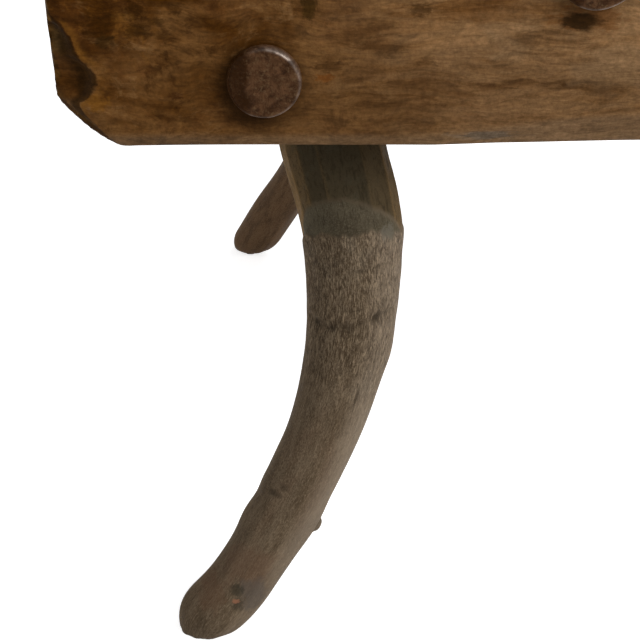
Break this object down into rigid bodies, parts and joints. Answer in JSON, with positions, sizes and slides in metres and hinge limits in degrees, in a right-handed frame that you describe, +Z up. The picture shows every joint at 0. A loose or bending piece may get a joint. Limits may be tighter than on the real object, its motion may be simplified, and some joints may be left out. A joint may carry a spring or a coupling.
{
  "type": "branch stool",
  "caption": "Rustic stool with a thick hewn plank seat, crooked branch legs wedged through it and iron bolts across it against splitting.",
  "frame": {"origin": "on the floor, under the middle of the seat", "axes": "+X along the seat, +Y from the front edge with the round bolt heads to the back edge, +Z up"},
  "size_m": [0.44, 0.4084, 0.341],
  "materials": {
    "seat_wood": "dark stain, waxed",
    "branch_wood": "bark, whittled neck",
    "wedge_wood": "oiled end grain",
    "black_iron": "forged, dark patina"
  },
  "bodies": {
    "root": {"seat_slab": "seat_wood", "leg_front_left": "branch_wood", "wedge_front_left": "wedge_wood", "leg_back_left": "branch_wood", "wedge_back_left": "wedge_wood", "leg_front_right": "branch_wood", "wedge_front_right": "wedge_wood", "leg_back_right": "branch_wood", "wedge_back_right": "wedge_wood", "bolt_left": "black_iron", "washer_left": "black_iron", "nut_left": "black_iron", "bolt_middle": "black_iron", "washer_middle": "black_iron", "nut_middle": "black_iron", "bolt_right": "black_iron", "washer_right": "black_iron", "nut_right": "black_iron"}
  },
  "joints": []
}
